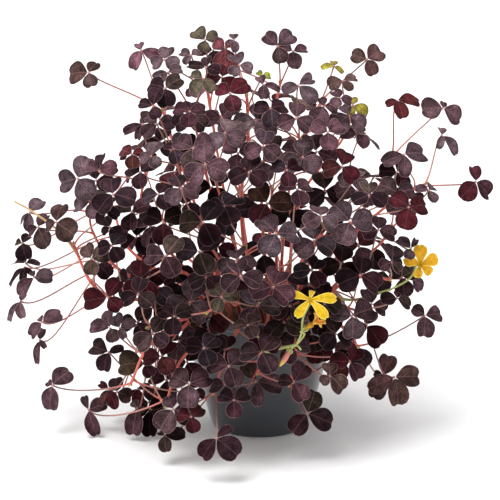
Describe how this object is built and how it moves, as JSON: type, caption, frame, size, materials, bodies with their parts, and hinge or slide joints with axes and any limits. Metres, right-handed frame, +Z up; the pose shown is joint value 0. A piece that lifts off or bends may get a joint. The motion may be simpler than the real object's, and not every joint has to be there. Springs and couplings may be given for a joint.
{
  "type": "potted oxalis plant",
  "caption": "Burgundy-leaved oxalis in a round tapered pot: bushy trailing stems with three-lobed leaves and small yellow flowers, for a sill or shelf.",
  "frame": {"origin": "centre of the pot's flat base", "axes": "+Z up along the pot's axis, +X to the right and -Y towards the viewer of the picture"},
  "size_m": [0.3439, 0.2603, 0.2865],
  "materials": {
    "pot": "dark grey satin moulded plastic",
    "soil": "damp peat and bark potting mix, matt and crumbly",
    "foliage": "burgundy to near-black leaves with a soft sheen and thin pale rims, on coral-red stems and pinkish petioles",
    "green_stalk": "pale green smooth fleshy stalk",
    "petal": "thin bright yellow petals with fine darker veins",
    "wilted_petal": "crumpled orange-yellow petals",
    "bud": "smooth pink bud with a yellow tip"
  },
  "bodies": {
    "root": {"pot": "pot", "soil": "soil", "stem_left_far": "foliage", "stem_left_node": "foliage", "stem_left_star": "foliage", "stem_left_back": "foliage", "stem_low_left": "foliage", "stem_low_left_mid": "foliage", "stem_low_left_front": "foliage", "stem_upper_left_a": "foliage", "stem_upper_left_b": "foliage", "stem_upper_left_c": "foliage", "stem_top_a": "foliage", "stem_top_b": "foliage", "stem_top_c": "foliage", "stem_top_d": "foliage", "stem_upper_right_a": "foliage", "stem_upper_right_b": "foliage", "stem_right_far": "foliage", "stem_right_mid": "foliage", "stem_right_node": "foliage", "stem_right_low": "foliage", "stem_low_right": "foliage", "stem_low_front_right": "foliage", "stem_front_right": "foliage", "stem_front_left": "foliage", "stem_front_mid": "foliage", "stem_centre_a": "foliage", "stem_centre_b": "foliage", "stem_centre_c": "foliage", "stem_centre_d": "foliage", "stem_centre_e": "foliage", "stem_centre_f": "foliage", "stem_centre_g": "foliage", "stem_left_inner": "foliage", "stem_back_left": "foliage", "stem_back_mid": "foliage", "stem_back_right": "foliage", "stem_back_low_left": "foliage", "stem_back_low_right": "foliage", "flower_stalk_front": "green_stalk", "flower_stalk_right": "green_stalk", "flower_front": "petal", "flower_right": "petal", "flower_wilted": "wilted_petal", "bud": "bud"}
  },
  "joints": []
}
